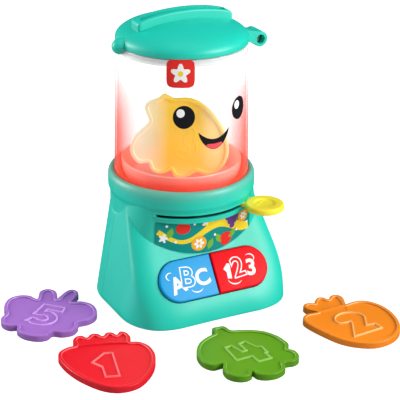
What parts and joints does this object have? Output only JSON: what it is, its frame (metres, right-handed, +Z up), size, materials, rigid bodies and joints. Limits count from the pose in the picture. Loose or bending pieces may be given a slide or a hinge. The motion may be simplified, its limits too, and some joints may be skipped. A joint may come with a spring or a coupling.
{
  "type": "toy blender",
  "caption": "Child's play blender: teal base with lever, two push buttons and print, clear jar with hinged slotted lid, glowing turning dish, and flat fruit-shaped number discs.",
  "frame": {"origin": "centre of the battery door's underside, on the jar's axis at floor level", "axes": "+Z up along the jar's axis, -Y towards the child at the button panel, +X to the side of the lid's hinge and the lever's rest"},
  "size_m": [0.303, 0.2494, 0.251],
  "materials": {
    "teal_plastic": "moulded, satin gloss",
    "clear_plastic": "clear, polished",
    "glowing_red_plastic": "translucent red",
    "yellow_plastic": "moulded, satin gloss",
    "yellow_disc_plastic": "moulded, fine matt",
    "blue_plastic": "moulded, glossy",
    "red_plastic": "moulded, glossy",
    "red_disc_plastic": "moulded, fine matt",
    "orange_plastic": "moulded, fine matt",
    "green_plastic": "moulded, fine matt",
    "purple_plastic": "moulded, fine matt",
    "white_plastic": "natural acetal, matt",
    "black_plastic": "matt",
    "battery_sleeve": "shrink sleeve",
    "grey_rubber": "matt",
    "screw_steel": "zinc plated",
    "circuit_board": "solder mask",
    "printed_label": "printed film",
    "red_lens_plastic": "clear red lens"
  },
  "bodies": {
    "root": {"front_housing": "teal_plastic", "rear_housing": "teal_plastic", "base_plate": "teal_plastic", "battery_door": "teal_plastic", "battery_door_screw": "screw_steel", "battery_cell_1": "battery_sleeve", "battery_cell_2": "battery_sleeve", "battery_cell_3": "battery_sleeve", "battery_contact_front": "screw_steel", "battery_contact_rear": "screw_steel", "circuit_board": "circuit_board", "speaker": "black_plastic", "power_switch_body": "black_plastic", "button_pad": "grey_rubber", "button_board": "circuit_board", "lower_deck": "white_plastic", "upper_deck": "white_plastic", "light_board": "circuit_board", "led_1": "red_lens_plastic", "led_2": "red_lens_plastic", "led_3": "red_lens_plastic", "led_4": "red_lens_plastic", "jar": "clear_plastic", "hinge_bracket": "teal_plastic", "hinge_pin": "screw_steel", "front_label": "printed_label", "housing_screw_1": "screw_steel", "housing_screw_2": "screw_steel", "housing_screw_3": "screw_steel", "housing_screw_4": "screw_steel", "base_screw_1": "screw_steel", "base_screw_2": "screw_steel", "base_screw_3": "screw_steel", "base_screw_4": "screw_steel"},
    "lid_body": {"lid": "teal_plastic"},
    "lever_body": {"lever": "yellow_plastic"},
    "idler_body": {"idler_gear": "white_plastic"},
    "dish_body": {"turntable": "glowing_red_plastic", "sun_gear": "white_plastic"},
    "jar_disc_body": {"yellow_disc": "yellow_disc_plastic"},
    "blue_button_body": {"button_blue": "blue_plastic"},
    "red_button_body": {"button_red": "red_plastic"},
    "switch_body": {"power_switch_knob": "yellow_plastic"},
    "red_disc_body": {"red_disc": "red_disc_plastic"},
    "green_disc_body": {"green_disc": "green_plastic"},
    "orange_disc_body": {"orange_disc": "orange_plastic"},
    "purple_disc_body": {"purple_disc": "purple_plastic"}
  },
  "joints": [
    {"name": "lid_hinge", "type": "hinge", "parent": "root", "child": "lid_body", "pos_m": [0.07, 0, 0.218], "axis": [0, 1, 0], "range_deg": [0, 105]},
    {"name": "lever_swing", "type": "hinge", "parent": "root", "child": "lever_body", "pos_m": [0, 0, 0.09], "axis": [0, 0, 1], "range_deg": [-74.6, 0]},
    {"name": "idler_spin", "type": "hinge", "parent": "root", "child": "idler_body", "pos_m": [0, 0.036, 0.09], "axis": [0, 0, 1], "range_deg": [-298.5, 0]},
    {"name": "dish_spin", "type": "hinge", "parent": "root", "child": "dish_body", "pos_m": [0, 0, 0.09], "axis": [0, 0, 1], "range_deg": [0, 149.3]},
    {"name": "blue_button_press", "type": "slide", "parent": "root", "child": "blue_button_body", "axis": [0, 0.8084, -0.5886], "range_m": [0, 0.002], "stiffness_N_per_m": 1500, "springref_m": -0.0005},
    {"name": "red_button_press", "type": "slide", "parent": "root", "child": "red_button_body", "axis": [0, 0.8084, -0.5886], "range_m": [0, 0.002], "stiffness_N_per_m": 1500, "springref_m": -0.0005},
    {"name": "power_slide", "type": "slide", "parent": "root", "child": "switch_body", "axis": [1, 0, 0], "range_m": [-0.003, 0.003]},
    {"name": "jar_disc_lift", "type": "slide", "parent": "dish_body", "child": "jar_disc_body", "axis": [0, 0, 1], "range_m": [0, 0.02]},
    {"name": "red_disc_lift", "type": "slide", "parent": "root", "child": "red_disc_body", "axis": [0, 0, 1], "range_m": [0, 0.06]},
    {"name": "green_disc_lift", "type": "slide", "parent": "root", "child": "green_disc_body", "axis": [0, 0, 1], "range_m": [0, 0.06]},
    {"name": "orange_disc_lift", "type": "slide", "parent": "root", "child": "orange_disc_body", "axis": [0, 0, 1], "range_m": [0, 0.06]},
    {"name": "purple_disc_lift", "type": "slide", "parent": "root", "child": "purple_disc_body", "axis": [0, 0, 1], "range_m": [0, 0.06]}
  ],
  "couplings": [
    {"joint": "idler_spin", "follows": "lever_swing", "ratio": 4},
    {"joint": "dish_spin", "follows": "lever_swing", "ratio": -2}
  ]
}
